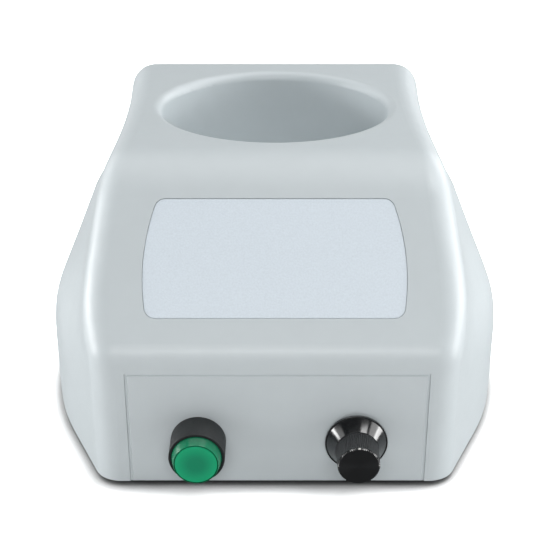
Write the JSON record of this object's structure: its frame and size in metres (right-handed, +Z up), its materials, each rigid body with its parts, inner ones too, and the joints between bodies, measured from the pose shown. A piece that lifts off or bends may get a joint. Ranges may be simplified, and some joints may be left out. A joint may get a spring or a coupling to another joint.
{
  "type": "vacuum aspirator",
  "caption": "Bench vacuum aspirator: a moulded grey casing with a round bottle well, sloped blank nameplate, lit green push button and black control knob, over an enclosed diaphragm pump.",
  "frame": {"origin": "on the bench, under the middle of the whole object's length and width", "axes": "+X to the right as seen from the front, +Y to the rear, +Z up"},
  "size_m": [0.2024, 0.253, 0.1205],
  "materials": {
    "casing_grey": "moulded, fine orange-peel texture",
    "base_grey": "moulded",
    "plate_silver": "printed polyester sheet, bare",
    "foot_rubber": "moulded",
    "screw_steel": "zinc plated",
    "spring_steel": "drawn",
    "black_matte": "moulded",
    "lens_green": "translucent",
    "white_plastic": "moulded",
    "lamp_clear": "clear",
    "knob_black": "turned, black anodised",
    "brass": "turned",
    "zinc": "die cast",
    "cast_aluminium": "cast",
    "can_steel": "drawn",
    "magnet_grey": "sintered",
    "board_green": "solder resist",
    "silicone": "translucent"
  },
  "bodies": {
    "housing": {"base_plate": "base_grey", "board_capacitors": "can_steel", "board_screws": "screw_steel", "button_barrel": "black_matte", "button_lamp": "lamp_clear", "button_nut": "black_matte", "button_spring": "spring_steel", "case_screws": "screw_steel", "circuit_board": "board_green", "crankcase": "cast_aluminium", "crankcase_cover": "cast_aluminium", "diaphragm": "foot_rubber", "exhaust_nut": "brass", "exhaust_silencer": "brass", "exhaust_tube": "silicone", "front_panel": "casing_grey", "head_screws": "screw_steel", "heat_sink": "cast_aluminium", "isolator_screws": "screw_steel", "motor_bushes": "brass", "motor_can": "can_steel", "motor_end_cap": "black_matte", "motor_magnets": "magnet_grey", "motor_screws": "screw_steel", "nameplate": "plate_silver", "panel_screws": "screw_steel", "pot_bushing": "brass", "pot_can": "zinc", "pot_nut": "screw_steel", "power_jack": "black_matte", "power_jack_nut": "screw_steel", "power_transistor": "black_matte", "pump_bracket": "can_steel", "pump_head": "black_matte", "pump_isolators": "foot_rubber", "rubber_feet": "foot_rubber", "suction_tube": "silicone", "switch_block": "black_matte", "terminal_block": "board_green", "top_casing": "casing_grey", "vacuum_port": "brass", "vacuum_port_nut": "brass", "valve_flaps": "foot_rubber", "valve_plate": "black_matte"},
    "button": {"button_lens": "lens_green", "button_plunger": "white_plastic"},
    "knob": {"control_knob": "knob_black", "knob_pointer": "white_plastic", "knob_set_screw": "screw_steel", "pot_shaft": "brass"},
    "rotor": {"motor_rotor": "can_steel", "eccentric": "brass"},
    "rod": {"connecting_rod": "cast_aluminium", "rod_bearing": "screw_steel", "diaphragm_clamp": "screw_steel", "clamp_screw": "screw_steel"}
  },
  "joints": [
    {"name": "button_press", "type": "slide", "parent": "housing", "child": "button", "axis": [0, 1, 0], "range_m": [0, 0.003], "stiffness_N_per_m": 400, "springref_m": -0.002, "deforming": ["button_spring"]},
    {"name": "knob_turn", "type": "hinge", "parent": "housing", "child": "knob", "pos_m": [0.0324, -0.1085, 0.022], "axis": [0, 1, 0], "range_deg": [-150, 150]},
    {"name": "rotor_spin", "type": "hinge", "parent": "housing", "child": "rotor", "pos_m": [0.01, 0.0055, 0.0303], "axis": [1, 0, 0], "continuous": true},
    {"name": "rod_pivot", "type": "hinge", "parent": "rotor", "child": "rod", "pos_m": [0.01, 0.0075, 0.0303], "axis": [1, 0, 0], "continuous": true}
  ],
  "couplings": [
    {"joint": "rod_pivot", "follows": "rotor_spin", "ratio": -1}
  ]
}
